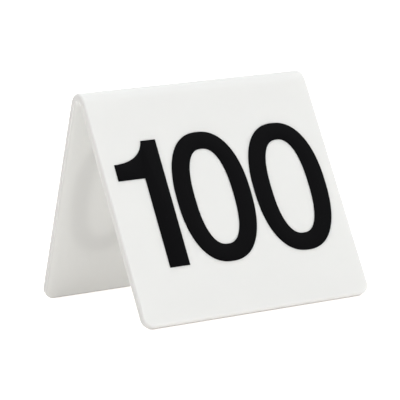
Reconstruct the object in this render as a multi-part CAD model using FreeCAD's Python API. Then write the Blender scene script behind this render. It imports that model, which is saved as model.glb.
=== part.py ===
import FreeCAD, Part

import math
import os

# Table number tent: one opal acrylic sheet, bent over a hot line into an
# upside-down V, with the number 100 in cut black film on both outer faces.
#
# Millimetres, +Z up. X runs along the fold and the front looks towards -Y.
# The origin is on the table, midway between the two feet.

# The bent sheet
tent_width = 101.6            # along the fold
tent_height = 88.4            # from the table to the top of the fold
standing_spread = 89.9        # between the inner edges that the tent stands on
sheet_thickness = 3.0
bend_inner_radius = 3.8
lower_corner_radius = 4.5     # both lower corners of both panels
arris_radius = 0.8            # buffed arris all round the outer surface
foot_dressing = 0.12          # height sanded off the two sharp standing edges

# Where the number lies on a panel, as bare sheet left round it
side_margin = 5.5             # to each side edge
lower_margin = 21.4           # from the lower edge up to the zeros
upper_margin = 16.9           # from the zeros up to the start of the bend
one_to_zero_gap = 2.2
zero_to_zero_gap = 1.6

# The figures
film_thickness = 0.12
zero_overshoot = 1.0          # how far the zeros pass the flat ends of the one
zero_side_stroke = 8.0
zero_end_stroke = 7.3
zero_outer_squareness = 2.32  # superellipse exponents: 2 is a plain ellipse
zero_inner_squareness = 2.43
zero_outline_points = 48
one_stem_width = 8.8
one_crown_width = 6.5         # flat top of the stem
one_flag_reach = 11.65        # from the stem out to the tip of the flag
one_flag_tip_height = 6.9
one_flag_drop = 8.65          # from the crown down to the top of the tip
sweep_fullness = 0.6          # share of its run over which the sweep stays level
sweep_slant = 1.0             # how far the sweep leans where it meets the crown

touch = 1e-6                  # two places closer than this are the same place

# The section of the tent. The inner face of each panel meets the table at half
# the standing spread and is tangent to the inner bend.
half_width = tent_width / 2
bend_outer_radius = bend_inner_radius + sheet_thickness
bend_axis_height = tent_height - bend_outer_radius
foot_reach = standing_spread / 2
foot_to_axis = math.hypot(foot_reach, bend_axis_height)
inner_face_length = math.sqrt(foot_to_axis**2 - bend_inner_radius**2)
lean = math.atan2(foot_reach, bend_axis_height) - math.atan2(bend_inner_radius, inner_face_length)
panel_length = inner_face_length + foot_dressing / math.cos(lean)


def section_point(radius, down, side):
    """A point of the section, side -1 in front and +1 behind: radius out from
    the bend axis square to the panel, then down along the panel."""
    out = radius * math.cos(lean) + down * math.sin(lean)
    height = bend_axis_height + radius * math.sin(lean) - down * math.cos(lean)
    return FreeCAD.Vector(-half_width, side * out, height)


def bent_line(radius):
    """One face of the sheet in section: front foot, bend, rear foot."""
    front_foot = section_point(radius, panel_length, -1)
    front_bend = section_point(radius, 0, -1)
    top = FreeCAD.Vector(-half_width, 0, bend_axis_height + radius)
    rear_bend = section_point(radius, 0, 1)
    rear_foot = section_point(radius, panel_length, 1)
    edges = [
        Part.LineSegment(front_foot, front_bend).toShape(),
        Part.Arc(front_bend, top, rear_bend).toShape(),
        Part.LineSegment(rear_bend, rear_foot).toShape(),
    ]
    return front_foot, rear_foot, edges


def depth_in_sheet(point):
    """How far a point lies below the outer surface of the tent."""
    out = abs(point.y)
    up = point.z - bend_axis_height
    along_normal = out * math.cos(lean) + up * math.sin(lean)
    above_bend_line = up * math.cos(lean) - out * math.sin(lean) > 0
    reached = math.hypot(out, up) if above_bend_line else along_normal
    return bend_outer_radius - reached


def tent_sheet():
    outer_front, outer_rear, outer_edges = bent_line(bend_outer_radius)
    inner_front, inner_rear, inner_edges = bent_line(bend_inner_radius)
    front_cut = Part.LineSegment(outer_front, inner_front).toShape()
    rear_cut = Part.LineSegment(outer_rear, inner_rear).toShape()
    outline = Part.Wire(outer_edges + [rear_cut] + inner_edges[::-1] + [front_cut])
    sheet = Part.Face(outline).extrude(FreeCAD.Vector(tent_width, 0, 0))

    corners = [
        edge for edge in sheet.Edges
        if abs(edge.Length - sheet_thickness) < touch
        and abs(abs(edge.CenterOfMass.x) - half_width) < touch
    ]
    sheet = sheet.makeFillet(lower_corner_radius, corners)

    bend_line_height = section_point(bend_outer_radius, 0, 1).z
    outer_arris = []
    for edge in sheet.Edges:
        middle = edge.valueAt((edge.FirstParameter + edge.LastParameter) / 2)
        on_outer_surface = abs(depth_in_sheet(middle)) < touch
        is_bend_line = abs(middle.x) < touch and abs(middle.z - bend_line_height) < touch
        if on_outer_surface and not is_bend_line:
            outer_arris.append(edge)
    sheet = sheet.makeFillet(arris_radius, outer_arris)

    below_table = Part.makeBox(
        2 * tent_width, 2 * standing_spread, tent_height,
        FreeCAD.Vector(-tent_width, -standing_spread, -tent_height),
    )
    return sheet.cut(below_table)


# The figures are drawn on a flat panel: u across from its middle, v up from its
# lower edge.
zero_height = panel_length - lower_margin - upper_margin
one_height = zero_height - 2 * zero_overshoot
number_width = tent_width - 2 * side_margin
one_width = one_stem_width + one_flag_reach
zero_width = (number_width - one_width - one_to_zero_gap - zero_to_zero_gap) / 2
zero_centre_height = lower_margin + zero_height / 2
one_right = -number_width / 2 + one_width
zero_left_centre = one_right + one_to_zero_gap + zero_width / 2
zero_right_centre = zero_left_centre + zero_width + zero_to_zero_gap


def superellipse(centre_u, half_across, half_up, squareness):
    points = []
    for step in range(zero_outline_points):
        turn = 2 * math.pi * step / zero_outline_points
        across = half_across * math.cos(turn)
        up = half_up * math.sin(turn)
        size = (abs(math.cos(turn))**squareness + abs(math.sin(turn))**squareness)**(1 / squareness)
        points.append(FreeCAD.Vector(centre_u + across / size, zero_centre_height + up / size, 0))
    curve = Part.BSplineCurve()
    curve.interpolate(Points=points, PeriodicFlag=True)
    return Part.Wire(curve.toShape())


def zero_outline(centre_u):
    outer = superellipse(centre_u, zero_width / 2, zero_height / 2, zero_outer_squareness)
    inner = superellipse(
        centre_u,
        zero_width / 2 - zero_side_stroke,
        zero_height / 2 - zero_end_stroke,
        zero_inner_squareness,
    )
    return Part.Face([outer, inner])


def one_outline():
    """A square stem with a flag. The flag's upper edge leaves its tip level and
    sweeps up into the crown."""
    stem_left = one_right - one_stem_width
    tip = stem_left - one_flag_reach
    crown_left = one_right - one_crown_width
    bottom = lower_margin + zero_overshoot
    top = bottom + one_height
    tip_top = top - one_flag_drop
    tip_bottom = tip_top - one_flag_tip_height
    level_pull = sweep_fullness * (crown_left - tip)
    upright_pull = sweep_fullness * one_flag_drop
    corners = [
        FreeCAD.Vector(crown_left, top, 0),
        FreeCAD.Vector(one_right, top, 0),
        FreeCAD.Vector(one_right, bottom, 0),
        FreeCAD.Vector(stem_left, bottom, 0),
        FreeCAD.Vector(stem_left, tip_bottom, 0),
        FreeCAD.Vector(tip, tip_bottom, 0),
        FreeCAD.Vector(tip, tip_top, 0),
    ]
    sweep = Part.BezierCurve()
    sweep.setPoles([
        FreeCAD.Vector(tip, tip_top, 0),
        FreeCAD.Vector(tip + level_pull, tip_top, 0),
        FreeCAD.Vector(crown_left - sweep_slant, top - upright_pull, 0),
        FreeCAD.Vector(crown_left, top, 0),
    ])
    edges = [Part.LineSegment(a, b).toShape() for a, b in zip(corners, corners[1:])]
    edges.append(sweep.toShape())
    return Part.Face(Part.Wire(edges))


def on_front_panel(outline):
    """Thickens a flat figure into film and lays it on the front panel."""
    film = outline.extrude(FreeCAD.Vector(0, 0, film_thickness))
    lower_edge = section_point(bend_outer_radius, panel_length, -1)
    tilt = FreeCAD.Rotation(FreeCAD.Vector(1, 0, 0), 90 - math.degrees(lean))
    film.Placement = FreeCAD.Placement(FreeCAD.Vector(0, lower_edge.y, lower_edge.z), tilt)
    return film


def on_rear_panel(front_film):
    """The rear number is the front one turned half round about the vertical."""
    film = front_film.copy()
    film.rotate(FreeCAD.Vector(0, 0, 0), FreeCAD.Vector(0, 0, 1), 180)
    return film


os.makedirs("parts", exist_ok=True)
tent_sheet().exportStep("parts/tent_sheet.step")
figures = {
    "one": one_outline(),
    "zero_left": zero_outline(zero_left_centre),
    "zero_right": zero_outline(zero_right_centre),
}
for figure, outline in figures.items():
    front_film = on_front_panel(outline)
    front_film.exportStep(f"parts/front_numeral_{figure}.step")
    on_rear_panel(front_film).exportStep(f"parts/rear_numeral_{figure}.step")
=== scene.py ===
import math

import bmesh
import bpy
import numpy as np
from mathutils import Matrix, Vector


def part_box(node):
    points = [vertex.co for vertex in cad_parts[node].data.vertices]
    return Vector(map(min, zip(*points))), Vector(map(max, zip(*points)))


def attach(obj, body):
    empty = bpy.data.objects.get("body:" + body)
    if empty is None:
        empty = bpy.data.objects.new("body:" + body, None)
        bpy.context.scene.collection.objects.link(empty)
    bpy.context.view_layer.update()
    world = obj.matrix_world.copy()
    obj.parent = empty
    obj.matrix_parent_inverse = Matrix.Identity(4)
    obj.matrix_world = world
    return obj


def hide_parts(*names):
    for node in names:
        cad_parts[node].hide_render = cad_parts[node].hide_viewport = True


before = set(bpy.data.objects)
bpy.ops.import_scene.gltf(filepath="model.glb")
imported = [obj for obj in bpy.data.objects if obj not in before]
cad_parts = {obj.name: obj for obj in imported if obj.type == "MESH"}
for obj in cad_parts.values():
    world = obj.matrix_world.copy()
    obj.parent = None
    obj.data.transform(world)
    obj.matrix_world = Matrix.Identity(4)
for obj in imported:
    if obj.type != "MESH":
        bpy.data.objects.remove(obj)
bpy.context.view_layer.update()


# The camera stands in front of the tent and to its left, a little above the
# fold. It is rolled a few degrees, so that the fold climbs to the right.
mm = 0.001
camera_azimuth = math.radians(-28.164)
camera_elevation = math.radians(8.017)
camera_roll = math.radians(-3.411)
camera_distance = 905.7 * mm
camera_lens = 200.55            # in millimetres, as the sensor
sensor_width = 36
aim_height = 40.11 * mm
aim_aside = 1.11 * mm

back = Vector((
    math.sin(camera_azimuth) * math.cos(camera_elevation),
    -math.cos(camera_azimuth) * math.cos(camera_elevation),
    math.sin(camera_elevation),
))
level_right = Vector((0, 0, 1)).cross(back).normalized()
level_up = back.cross(level_right)
right = level_right * math.cos(camera_roll) + level_up * math.sin(camera_roll)
up = level_up * math.cos(camera_roll) - level_right * math.sin(camera_roll)

camera_data = bpy.data.cameras.new("camera")
camera_data.lens = camera_lens
camera_data.sensor_width = sensor_width
camera_data.clip_end = 100
camera = bpy.data.objects.new("camera", camera_data)
bpy.context.scene.collection.objects.link(camera)
camera.matrix_world = (
    Matrix.Translation(Vector((0, 0, aim_height)) + right * aim_aside + back * camera_distance)
    @ Matrix((right, up, back)).transposed().to_4x4()
)
bpy.context.scene.camera = camera


# The tent: one sheet of opal cast acrylic, 3 mm thick. It was cut out with rounded
# lower corners, its outer arris was buffed round, and it was bent over a hot line
# into an upside-down V, which stands on its two inner lower edges.
sheet_thickness = 3.0 * mm
bend_inner_radius = 3.8 * mm
standing_spread = 89.9 * mm     # between the inner edges that the tent stands on
foot_dressing = 0.12 * mm       # height sanded off the two standing edges
side_easing = 0.25              # how much of that the side edges have had
lower_corner_radius = 4.5 * mm
arris_radius = 0.8 * mm
bend_end_pull = 0.12 * mm       # how far the fold's ends are drawn out of square
bend_end_reach = 4.0 * mm       # over this length of the fold
bend_end_span = 1.6             # and this far round it, in half bends
inner_rim_cut_and_painted_shade = 0.7              # how much of the cut's tone, roughness and lines the rim of the inner face takes; the darker tone there is painted shade

grid_pitch = 1.3 * mm
bend_steps = 40
corner_steps = 14
arris_steps = 7
edge_support = 0.2 * mm         # keeps the flat surfaces flat up to their edges
touch = 1e-4 * mm               # two places closer than this are the same place
crisp_arris = math.radians(30)  # edges that turn more than this are shaded sharp

tent_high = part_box("tent_sheet")[1]
half_width = tent_high.x
bend_outer_radius = bend_inner_radius + sheet_thickness
bend_axis_height = tent_high.z - bend_outer_radius
foot_to_axis = math.hypot(standing_spread / 2, bend_axis_height)
inner_face_length = math.sqrt(foot_to_axis**2 - bend_inner_radius**2)
lean = (
    math.atan2(standing_spread / 2, bend_axis_height)
    - math.atan2(bend_inner_radius, inner_face_length)
)
panel_length = inner_face_length + foot_dressing / math.cos(lean)
bend_turn = math.pi / 2 - lean
half_bend = bend_turn * (bend_outer_radius + bend_inner_radius) / 2
half_length = half_bend + panel_length


def bend(across, along, depth):
    """Where the flat sheet's places go once it is bent: across the sheet, along it
    from the crest of the fold, negative in front, and depth below its outer face. At
    the fold's ends the bend draws the outer face in and pushes the inner face out."""
    radius = bend_outer_radius - depth
    in_bend = np.minimum(abs(along), half_bend)
    down = abs(along) - in_bend
    turn = in_bend / half_bend * bend_turn
    out = radius * np.sin(turn) + down * math.sin(lean)
    height = bend_axis_height + radius * np.cos(turn) - down * math.cos(lean)
    near_end = np.clip(1 - (half_width - abs(across)) / bend_end_reach, 0, 1)**2
    in_fold = np.sqrt(np.clip(1 - abs(along) / (bend_end_span * half_bend), 0, 1))
    spread = bend_end_pull * (2 * depth / sheet_thickness - 1) * near_end * in_fold
    return np.stack((across + np.sign(across) * spread, np.sign(along) * out, height), axis=1)


def outline_normal(across, along):
    """Outward across the rounded outline of the flat sheet."""
    from_corner = np.stack((
        abs(across) - (half_width - lower_corner_radius),
        abs(along) - (half_length - lower_corner_radius),
    ), axis=1)
    in_corner = (from_corner > 0).all(axis=1)
    on_side = half_width - abs(across) < half_length - abs(along)
    straight = np.where(on_side[:, None], (1.0, 0.0), (0.0, 1.0))
    normal = np.where(in_corner[:, None], from_corner, straight)
    normal /= np.linalg.norm(normal, axis=1)[:, None]
    return normal * np.sign(np.stack((across, along), axis=1))


def flat_grid(inset):
    """The flat sheet as a fine grid of faces, its outline drawn in by inset."""
    grid = bmesh.new()
    rim = []
    for quarter in range(4):
        for step in range(corner_steps + 1):
            turn = (quarter + step / corner_steps) * math.pi / 2
            side_x = 1 if quarter in (0, 3) else -1
            side_y = 1 if quarter in (0, 1) else -1
            reach = lower_corner_radius - inset
            rim.append(grid.verts.new((
                side_x * (half_width - lower_corner_radius) + reach * math.cos(turn),
                side_y * (half_length - lower_corner_radius) + reach * math.sin(turn),
                0,
            )))
    grid.faces.new(rim)
    columns = round(2 * half_width / grid_pitch)
    rows = round(panel_length / grid_pitch)
    cuts = [((x, 0, 0), (1, 0, 0)) for x in np.linspace(-half_width, half_width, columns + 1)[1:-1]]
    levels = np.concatenate((
        np.linspace(-half_length, -half_bend, rows + 1)[1:-1],
        np.linspace(-half_bend, half_bend, bend_steps + 1),
        np.linspace(half_bend, half_length, rows + 1)[1:-1],
    ))
    cuts += [((0, y, 0), (0, 1, 0)) for y in levels]
    for place, normal in cuts:
        everything = grid.verts[:] + grid.edges[:] + grid.faces[:]
        bmesh.ops.bisect_plane(grid, geom=everything, dist=touch, plane_co=place, plane_no=normal)
    grid.verts.index_update()
    places = np.array([vert.co[:2] for vert in grid.verts])
    faces = [[vert.index for vert in face.verts] for face in grid.faces]
    edge = [vert for vert in grid.verts if vert.is_boundary]
    edge.sort(key=lambda vert: math.atan2(vert.co.y, vert.co.x))
    rim = [vert.index for vert in edge]
    grid.free()
    return places, faces, rim


def mesh_piece(name, places, faces):
    """Makes a closed piece, with every face turned outward."""
    mesh = bpy.data.meshes.new(name)
    mesh.from_pydata(places.tolist(), [], faces)
    shell = bmesh.new()
    shell.from_mesh(mesh)
    bmesh.ops.recalc_face_normals(shell, faces=shell.faces)
    shell.to_mesh(mesh)
    shell.free()
    piece = bpy.data.objects.new(name, mesh)
    bpy.context.scene.collection.objects.link(piece)
    return piece


def tent_shell():
    """Outer skin, rings round the edge, and inner skin. Returns the piece, where its
    points lie on the flat sheet, and how far each takes the cut's look: saw marks and a darker
    tone, partly painted shade."""
    skin_inset = arris_radius + edge_support
    skin, skin_faces, rim = flat_grid(skin_inset)
    outward = outline_normal(*skin[rim].T)
    eased = side_easing + (1 - side_easing) * outward[:, 1]**2
    eased_edge = eased * foot_dressing / math.sin(lean)
    eased_face = eased * foot_dressing / math.cos(lean)
    rings = [(arris_radius, 0)]
    for step in range(1, arris_steps + 1):
        turn = step / arris_steps * math.pi / 2
        rings.append((arris_radius * (1 - math.sin(turn)), arris_radius * (1 - math.cos(turn))))
    rings += [
        (0, arris_radius + edge_support),
        (0, sheet_thickness - eased_edge - edge_support),
        (0, sheet_thickness - eased_edge),
        (eased_face, sheet_thickness),
        (eased_face + edge_support, sheet_thickness),
    ]
    places = [np.column_stack((skin, np.zeros(len(skin))))]
    for inset, depth in rings:
        inset, depth = np.broadcast_arrays(inset, depth, eased)[:2]
        ring = skin[rim] + outward * (skin_inset - inset)[:, None]
        places.append(np.column_stack((ring, depth)))
    places.append(np.column_stack((skin, np.full(len(skin), sheet_thickness))))
    flat = np.concatenate(places)

    first_ring = len(skin)
    inner_skin = first_ring + len(rings) * len(rim)
    loops = [list(rim)]
    loops += [[first_ring + k * len(rim) + i for i in range(len(rim))] for k in range(len(rings))]
    loops.append([inner_skin + i for i in rim])
    faces = skin_faces + [[inner_skin + i for i in face] for face in skin_faces]
    for upper, lower in zip(loops, loops[1:]):
        for i in range(len(rim)):
            faces.append([upper[i - 1], upper[i], lower[i], lower[i - 1]])
    on_cut = np.zeros(len(flat))
    for k in range(len(rings)):
        start = first_ring + k * len(rim)
        # Painted shade: the rim of the inner face takes part of the cut's darker tone.
        from_inner_face = inner_rim_cut_and_painted_shade * (len(rings) - k)
        on_cut[start:start + len(rim)] = min(k / arris_steps, 1, from_inner_face)
    return mesh_piece("opal_tent_sheet", bend(*flat.T), faces), flat, on_cut


def keep_on_points(piece, name, kind, field, values):
    held = piece.data.attributes.new(name, kind, "POINT")
    held.data.foreach_set(field, np.ascontiguousarray(values, np.float32).ravel())


def linear(hex_colour):
    """An sRGB colour such as #f4f4f1 as linear light."""
    shares = [int(hex_colour[i:i + 2], 16) / 255 for i in (1, 3, 5)]
    return (*[s / 12.92 if s <= 0.04045 else ((s + 0.055) / 1.055)**2.4 for s in shares], 1)


def add(tree, kind, sockets=None, **settings):
    """Adds a node with its settings. A socket takes a value or another node's output."""
    node = tree.nodes.new("ShaderNode" + kind)
    for name, value in settings.items():
        setattr(node, name, value)
    for name, value in (sockets or {}).items():
        if isinstance(value, bpy.types.NodeSocket):
            tree.links.new(value, node.inputs[name])
        else:
            node.inputs[name].default_value = value
    return node


noise_range = {"From Min": 0.3, "From Max": 0.7}    # a noise texture seldom leaves it


def new_material(name):
    material = bpy.data.materials.new(name)
    material.use_nodes = True
    material.node_tree.nodes.clear()
    return material, material.node_tree


def opal_cast_acrylic():
    """Milky white all through, with a satin surface. Light creeps a millimetre or two into it, so
    its edges look soft and the film on its far side shows faintly; most of that shade is painted
    into its colour."""
    sheet_white = linear("#ecedec")
    # The cut edges' greyer tone is partly the sawn edge's own and partly painted shade.
    sawn_white_and_edge_shade = linear("#dadad9")
    painted_shade_behind_film = 0.935         # painted shade: the white's colour is darkened to this share behind the film
    mottle_size = 16 * mm
    satin_grain = 0.45 * mm     # about 0.1 mm on the real sheet, drawn coarser to show
    scratch_width = 0.3 * mm    # hairlines, also drawn coarser
    scratch_length = 26 * mm
    scratch_share = {"From Min": 0.72, "From Max": 0.8}     # only the noise's crests
    scratch_roughness = 0.12
    sawn_roughness = 0.1
    buffing_pitch = 1.0 * mm    # along the edge, again drawn coarser
    wave_length = math.pi / 5   # of a diagonal wave texture at scale 1

    material, tree = new_material("opal_cast_acrylic_satin")
    place = add(tree, "Attribute", attribute_name="sheet_place").outputs["Vector"]
    on_cut = add(tree, "Attribute", attribute_name="cut_edge").outputs["Fac"]
    shade = add(tree, "Attribute", attribute_name="painted_film_shade").outputs["Fac"]

    mottle = add(tree, "TexNoise", {
        "Vector": place, "Scale": 1 / mottle_size, "Detail": 3, "Roughness": 0.55,
    }).outputs["Fac"]
    grain = add(tree, "TexNoise", {
        "Vector": place, "Scale": 1 / satin_grain, "Detail": 2, "Roughness": 0.6,
    }).outputs["Fac"]

    # Two sets of hairlines cross, one leaning each way.
    scratches = []
    for lean_of_set, start_of_set in ((0.35, 3.1), (-0.6, 7.7)):
        laid = add(tree, "Mapping", {
            "Vector": place,
            "Location": (start_of_set, start_of_set, 0),
            "Rotation": (0, 0, lean_of_set),
            "Scale": (1 / scratch_width, 1 / scratch_length, 1 / scratch_width),
        }).outputs["Vector"]
        strokes = add(tree, "TexNoise", {"Vector": laid, "Scale": 1, "Detail": 1}).outputs["Fac"]
        crests = add(tree, "MapRange", {"Value": strokes, **scratch_share})
        scratches.append(crests.outputs["Result"])
    either = {0: scratches[0], 1: scratches[1]}
    scratched = add(tree, "Math", either, operation="MAXIMUM").outputs[0]

    buffed = add(tree, "TexWave", {
        "Vector": place, "Scale": wave_length / buffing_pitch, "Distortion": 3,
        "Detail": 2, "Detail Scale": 2,
    }, bands_direction="DIAGONAL").outputs["Fac"]
    buffed_cut = add(tree, "Math", {0: buffed, 1: on_cut}, operation="MULTIPLY").outputs[0]

    # Toward the cut the tone turns greyer: partly the sawn edge's own, partly painted shade.
    tone = add(tree, "Mix", {0: on_cut, 6: sheet_white, 7: sawn_white_and_edge_shade}, data_type="RGBA").outputs[2]
    clouding = add(tree, "MapRange", {
        "Value": mottle, **noise_range, "To Min": 0.992, "To Max": 1.003,
    }).outputs["Result"]
    # Painted shade: the colour is darkened behind the film on the far side.
    shading = add(tree, "MapRange", {
        "Value": shade, "To Min": 1, "To Max": painted_shade_behind_film,
    }).outputs["Result"]
    level = add(tree, "Math", {0: clouding, 1: shading}, operation="MULTIPLY").outputs[0]
    colour = add(tree, "VectorMath", {0: tone, "Scale": level}, operation="SCALE").outputs["Vector"]

    satin = add(tree, "MapRange", {
        "Value": mottle, **noise_range, "To Min": 0.34, "To Max": 0.42,
    }).outputs["Result"]
    scuffed = add(tree, "Math", {
        0: scratched, 1: scratch_roughness, 2: satin,
    }, operation="MULTIPLY_ADD").outputs[0]
    roughness = add(tree, "Math", {
        0: on_cut, 1: sawn_roughness, 2: scuffed,
    }, operation="MULTIPLY_ADD").outputs[0]

    grained = add(tree, "Bump", {
        "Height": grain, "Distance": 0.002 * mm, "Strength": 1,
    }).outputs["Normal"]
    hairlines = add(tree, "Bump", {
        "Height": scratched, "Distance": 0.003 * mm, "Strength": 1, "Normal": grained,
    }, invert=True).outputs["Normal"]
    edge_lines = add(tree, "Bump", {
        "Height": buffed_cut, "Distance": 0.01 * mm, "Strength": 1, "Normal": hairlines,
    }).outputs["Normal"]

    surface = add(tree, "BsdfPrincipled", {
        "Base Color": colour,
        "Roughness": roughness,
        "Normal": edge_lines,
        "IOR": 1.49,
        "Subsurface Weight": 1,
        "Subsurface Radius": (1.0, 0.99, 0.98),
        "Subsurface Scale": 2.0 * mm,
    }, subsurface_method="RANDOM_WALK")
    add(tree, "OutputMaterial", {"Surface": surface.outputs["BSDF"]})
    return material


tent, flat, on_cut = tent_shell()
keep_on_points(tent, "sheet_place", "FLOAT_VECTOR", "vector", flat)
keep_on_points(tent, "cut_edge", "FLOAT", "value", on_cut)
tent.data.set_sharp_from_angle(angle=crisp_arris)
tent.data.materials.append(opal_cast_acrylic())
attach(tent, "root")
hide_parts("tent_sheet")


# The figures: 100 on each face of the tent, in matt black vinyl film, 0.12 mm thick
# with its adhesive. Each figure was knife-cut on a plotter, which leaves a faintly
# rounded lip, and pressed onto the outer face of a panel.
film_thickness = 0.12 * mm
lip_width = 0.05 * mm
lip_height = 0.04 * mm
lip_shoulder = 0.3              # how far across and down the lip its middle point lies
crisp_lip = math.radians(50)
painted_shade_softness = 1.5 * mm       # over which the painted shade of the film fades
side_margin = 5.5 * mm          # bare sheet to each side edge
lower_margin = 21.4 * mm        # from the lower edge up to the zeros
upper_margin = 16.9 * mm        # from the zeros up to the start of the bend
one_to_zero_gap = 2.2 * mm
zero_to_zero_gap = 1.6 * mm
zero_overshoot = 1.0 * mm       # how far the zeros pass the flat ends of the one
zero_side_stroke = 8.0 * mm
zero_end_stroke = 7.3 * mm
zero_outer_squareness = 2.32    # superellipse exponents: 2 is a plain ellipse
zero_inner_squareness = 2.43
zero_points = 160
one_stem_width = 8.8 * mm
one_crown_width = 6.5 * mm      # flat top of the stem
one_flag_reach = 11.65 * mm     # from the stem out to the tip of the flag
one_flag_tip_height = 6.9 * mm
one_flag_drop = 8.65 * mm       # from the crown down to the top of the tip
sweep_fullness = 0.6            # share of its run over which the sweep stays level
sweep_slant = 1.0 * mm          # how far it leans where it meets the crown
sweep_points = 24

# The outlines are drawn on a flat panel, u across from its middle and v up from its
# lower edge.
zero_height = panel_length - lower_margin - upper_margin
number_width = 2 * (half_width - side_margin)
one_width = one_stem_width + one_flag_reach
zero_width = (number_width - one_width - one_to_zero_gap - zero_to_zero_gap) / 2
zero_middle_height = lower_margin + zero_height / 2
one_right = one_width - number_width / 2
zero_left_middle = one_right + one_to_zero_gap + zero_width / 2
zero_right_middle = zero_left_middle + zero_width + zero_to_zero_gap


def superellipse(middle_u, half_across, half_up, squareness):
    turn = np.linspace(0, 2 * math.pi, zero_points, endpoint=False)
    across, rise = np.cos(turn), np.sin(turn)
    size = (abs(across)**squareness + abs(rise)**squareness)**(1 / squareness)
    places = (middle_u + half_across * across / size, zero_middle_height + half_up * rise / size)
    return np.stack(places, axis=1)


def zero_loops(middle_u):
    half_across, half_up = zero_width / 2, zero_height / 2
    outer = superellipse(middle_u, half_across, half_up, zero_outer_squareness)
    inner = superellipse(
        middle_u,
        half_across - zero_side_stroke,
        half_up - zero_end_stroke,
        zero_inner_squareness,
    )
    return [outer, inner]


def one_loops():
    """A square stem with a flag, whose upper edge sweeps up into the crown."""
    stem_left = one_right - one_stem_width
    tip = stem_left - one_flag_reach
    crown_left = one_right - one_crown_width
    bottom = lower_margin + zero_overshoot
    top = lower_margin + zero_height - zero_overshoot
    tip_top = top - one_flag_drop
    tip_bottom = tip_top - one_flag_tip_height
    poles = np.array([
        (tip, tip_top),
        (tip + sweep_fullness * (crown_left - tip), tip_top),
        (crown_left - sweep_slant, top - sweep_fullness * one_flag_drop),
        (crown_left, top),
    ])
    share = np.linspace(0, 1, sweep_points)[:, None]
    sweep = (
        poles[0] * (1 - share)**3
        + poles[1] * 3 * share * (1 - share)**2
        + poles[2] * 3 * share**2 * (1 - share)
        + poles[3] * share**3
    )
    corners = [
        (one_right, top),
        (one_right, bottom),
        (stem_left, bottom),
        (stem_left, tip_bottom),
        (tip, tip_bottom),
    ]
    return [np.concatenate((sweep, corners))[::-1]]


figures = {
    "one": one_loops(),
    "zero_left": zero_loops(zero_left_middle),
    "zero_right": zero_loops(zero_right_middle),
}


def inside_figures(places):
    """How far each place on a panel lies inside the figures, negative outside. A place
    is inside a figure when a level line from it crosses the outline an odd number of
    times. A level run of the outline is never crossed, so it is only kept from 0."""
    reach = np.full(len(places), -np.inf)
    for loops in figures.values():
        gap = np.full(len(places), np.inf)
        inside = np.zeros(len(places), bool)
        for loop in loops:
            for start, end in zip(loop, np.roll(loop, -1, axis=0)):
                run = end - start
                share = np.clip((places - start) @ run / (run @ run), 0, 1)
                gap = np.minimum(gap, np.linalg.norm(places - start - share[:, None] * run, axis=1))
                spans = (start[1] > places[:, 1]) != (end[1] > places[:, 1])
                crossing = start[0] + (places[:, 1] - start[1]) * run[0] / (run[1] or 1)
                inside ^= spans & (places[:, 0] < crossing)
        reach = np.maximum(reach, np.where(inside, gap, -gap))
    return reach


def drawn_in(loop, distance):
    """A loop of places, counterclockwise round film, moved into the film."""
    before, after = loop - np.roll(loop, 1, axis=0), np.roll(loop, -1, axis=0) - loop
    before /= np.linalg.norm(before, axis=1)[:, None]
    after /= np.linalg.norm(after, axis=1)[:, None]
    inward = np.stack((-(before + after)[:, 1], (before + after)[:, 0]), axis=1)
    mitre = 2 / (1 + (before * after).sum(axis=1))
    return loop + inward / 2 * mitre[:, None] * distance


def film_shell(loops):
    """Cut film on a flat panel: places in u, v and height, and its faces."""
    lip = [
        (0, 0),
        (0, film_thickness - lip_height),
        (lip_width * lip_shoulder, film_thickness - lip_height * lip_shoulder),
        (lip_width, film_thickness),
    ]
    places, faces, ends = [], [], []
    for loop in loops:
        count, first = len(loop), sum(len(part) for part in places)
        is_hole = len(ends) > 0     # a zero's second loop
        for inset, height in lip:
            moved = drawn_in(loop, -inset if is_hole else inset)
            places.append(np.column_stack((moved, np.full(count, height))))
        rings = [[first + k * count + i for i in range(count)] for k in range(len(lip))]
        for lower, upper in zip(rings, rings[1:]):
            faces += [[lower[i - 1], lower[i], upper[i], upper[i - 1]] for i in range(count)]
        ends.append((rings[0], rings[-1]))
    for level in (0, 1):
        rims = [end[level] for end in ends]
        if len(rims) == 1:
            faces.append(rims[0])
        else:
            outer, inner = rims
            faces += [[outer[i - 1], outer[i], inner[i], inner[i - 1]] for i in range(len(outer))]
    return np.concatenate(places), faces


def cut_vinyl_film():
    """Black through and through, with a fine calendered grain that breaks up the
    reflection into a low, even sheen."""
    film_black = linear("#09090b")
    worn_black = linear("#0e0e10")
    grain_size = 0.35 * mm      # about 0.15 mm on real film, drawn coarser to show
    patch_size = 9 * mm

    material, tree = new_material("cut_vinyl_film_matt_black")
    place = add(tree, "TexCoord").outputs["Object"]
    grain = add(tree, "TexVoronoi", {
        "Vector": place, "Scale": 1 / grain_size, "Randomness": 1,
    }, feature="SMOOTH_F1").outputs["Distance"]
    patches = add(tree, "TexNoise", {
        "Vector": place, "Scale": 1 / patch_size, "Detail": 4, "Roughness": 0.6,
    }).outputs["Fac"]
    blacks = {0: patches, 6: film_black, 7: worn_black}
    colour = add(tree, "Mix", blacks, data_type="RGBA").outputs[2]
    roughness = add(tree, "MapRange", {
        "Value": patches, **noise_range, "To Min": 0.38, "To Max": 0.46,
    }).outputs["Result"]
    grained = add(tree, "Bump", {
        "Height": grain, "Distance": 0.006 * mm, "Strength": 1,
    }).outputs["Normal"]
    surface = add(tree, "BsdfPrincipled", {
        "Base Color": colour,
        "Roughness": roughness,
        "Normal": grained,
        "IOR": 1.46,
        "Specular IOR Level": 0.035,
    })
    add(tree, "OutputMaterial", {"Surface": surface.outputs["BSDF"]})
    return material


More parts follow.
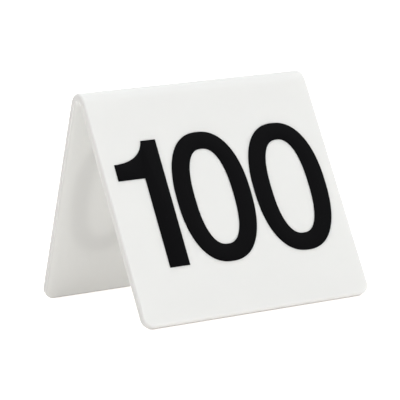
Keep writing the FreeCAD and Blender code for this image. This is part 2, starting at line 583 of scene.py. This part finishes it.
def paint_film_shade(flat):
    """A shade painted into the inner face's colour where the film lies on the far side,
    for the little light the sheet lets through there: 1 behind film, 0 away from it."""
    panel_place = np.stack((
        -np.sign(flat[:, 1]) * flat[:, 0],
        half_length - abs(flat[:, 1]),
    ), axis=1)
    inner = flat[:, 2] > sheet_thickness - edge_support
    shade = np.zeros(len(flat))
    shade[inner] = 0.5 + 0.5 * np.tanh(inside_figures(panel_place[inner]) / painted_shade_softness)
    return shade


vinyl = cut_vinyl_film()
for figure, loops in figures.items():
    places, faces = film_shell(loops)
    for panel, side in (("front", -1), ("rear", 1)):
        laid = bend(-side * places[:, 0], side * (half_length - places[:, 1]), -places[:, 2])
        film = mesh_piece(f"{panel}_film_{figure}", laid, faces)
        film.data.set_sharp_from_angle(angle=crisp_lip)
        film.data.materials.append(vinyl)
        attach(film, "root")
        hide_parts(f"{panel}_numeral_{figure}")

# The film's shade is painted into the sheet's colour.
keep_on_points(tent, "painted_film_shade", "FLOAT", "value", paint_film_shade(flat))


# The table: a wide sheet of matt white board on a softly glowing light table. Its
# warm white tints the shade between the two panels, and it washes out to plain
# white where it is seen straight on.
table_half_size = 12.0
table_white = linear("#fcfaf7")
table_warmth = (1.0, 0.955, 0.93, 1)
table_glow = 0.26               # what the board gives off
table_wash = 0.4                # what is added to it where it is seen straight on

board, tree = new_material("matt_white_board")
seen = add(tree, "LightPath").outputs["Is Camera Ray"]
glow = add(tree, "Math", {
    0: seen, 1: table_wash, 2: table_glow,
}, operation="MULTIPLY_ADD").outputs[0]
surface = add(tree, "BsdfPrincipled", {
    "Base Color": table_white,
    "Roughness": 0.9,
    "Specular IOR Level": 0.1,
    "Emission Color": table_warmth,
    "Emission Strength": glow,
})
add(tree, "OutputMaterial", {"Surface": surface.outputs["BSDF"]})
reach = table_half_size
table_corners = [(-reach, -reach, 0), (reach, -reach, 0), (reach, reach, 0), (-reach, reach, 0)]
table_mesh = bpy.data.meshes.new("table")
table_mesh.from_pydata(table_corners, [], [(0, 1, 2, 3)])
table_mesh.materials.append(board)
table = bpy.data.objects.new("table", table_mesh)
bpy.context.scene.collection.objects.link(table)


# The light: a dim room with wide soft panels of light in its walls and ceiling, the
# brightest one high in front and to the right. Seen straight on, the room is plain
# white.
room_light = 0.01               # from the bare walls between the panels
panel_fall_off = 4              # how fast a panel fades away from its middle
panels = {
    "overhead": ((0, 0, 1), 0.9),
    "high_behind": ((0, 0.707, 0.707), 0.77),
    "low_behind": ((0, 0.955, 0.296), 0.7),
    "front_right": ((0.5, -0.5, 0.707), 1.66),
    "left": ((-0.955, 0, 0.296), 0.65),
}

room = bpy.data.worlds.new("studio_room")
room.use_nodes = True
tree = room.node_tree
tree.nodes.clear()
towards = add(tree, "TexCoord").outputs["Generated"]
light = room_light
for direction, brightness in panels.values():
    facing = add(tree, "VectorMath", {0: towards, 1: direction}, operation="DOT_PRODUCT")
    ahead = add(tree, "Math", {0: facing.outputs["Value"], 1: 0}, operation="MAXIMUM")
    spot = add(tree, "Math", {0: ahead.outputs[0], 1: panel_fall_off}, operation="POWER")
    light = add(tree, "Math", {
        0: spot.outputs[0], 1: brightness, 2: light,
    }, operation="MULTIPLY_ADD").outputs[0]
seen = add(tree, "LightPath").outputs["Is Camera Ray"]
shown = add(tree, "Math", {0: light, 1: seen}, operation="MAXIMUM").outputs[0]
walls = add(tree, "Background", {"Color": (1, 1, 1, 1), "Strength": shown})
add(tree, "OutputWorld", {"Surface": walls.outputs["Background"]})
bpy.context.scene.world = room

bpy.context.scene.view_settings.view_transform = "Standard"
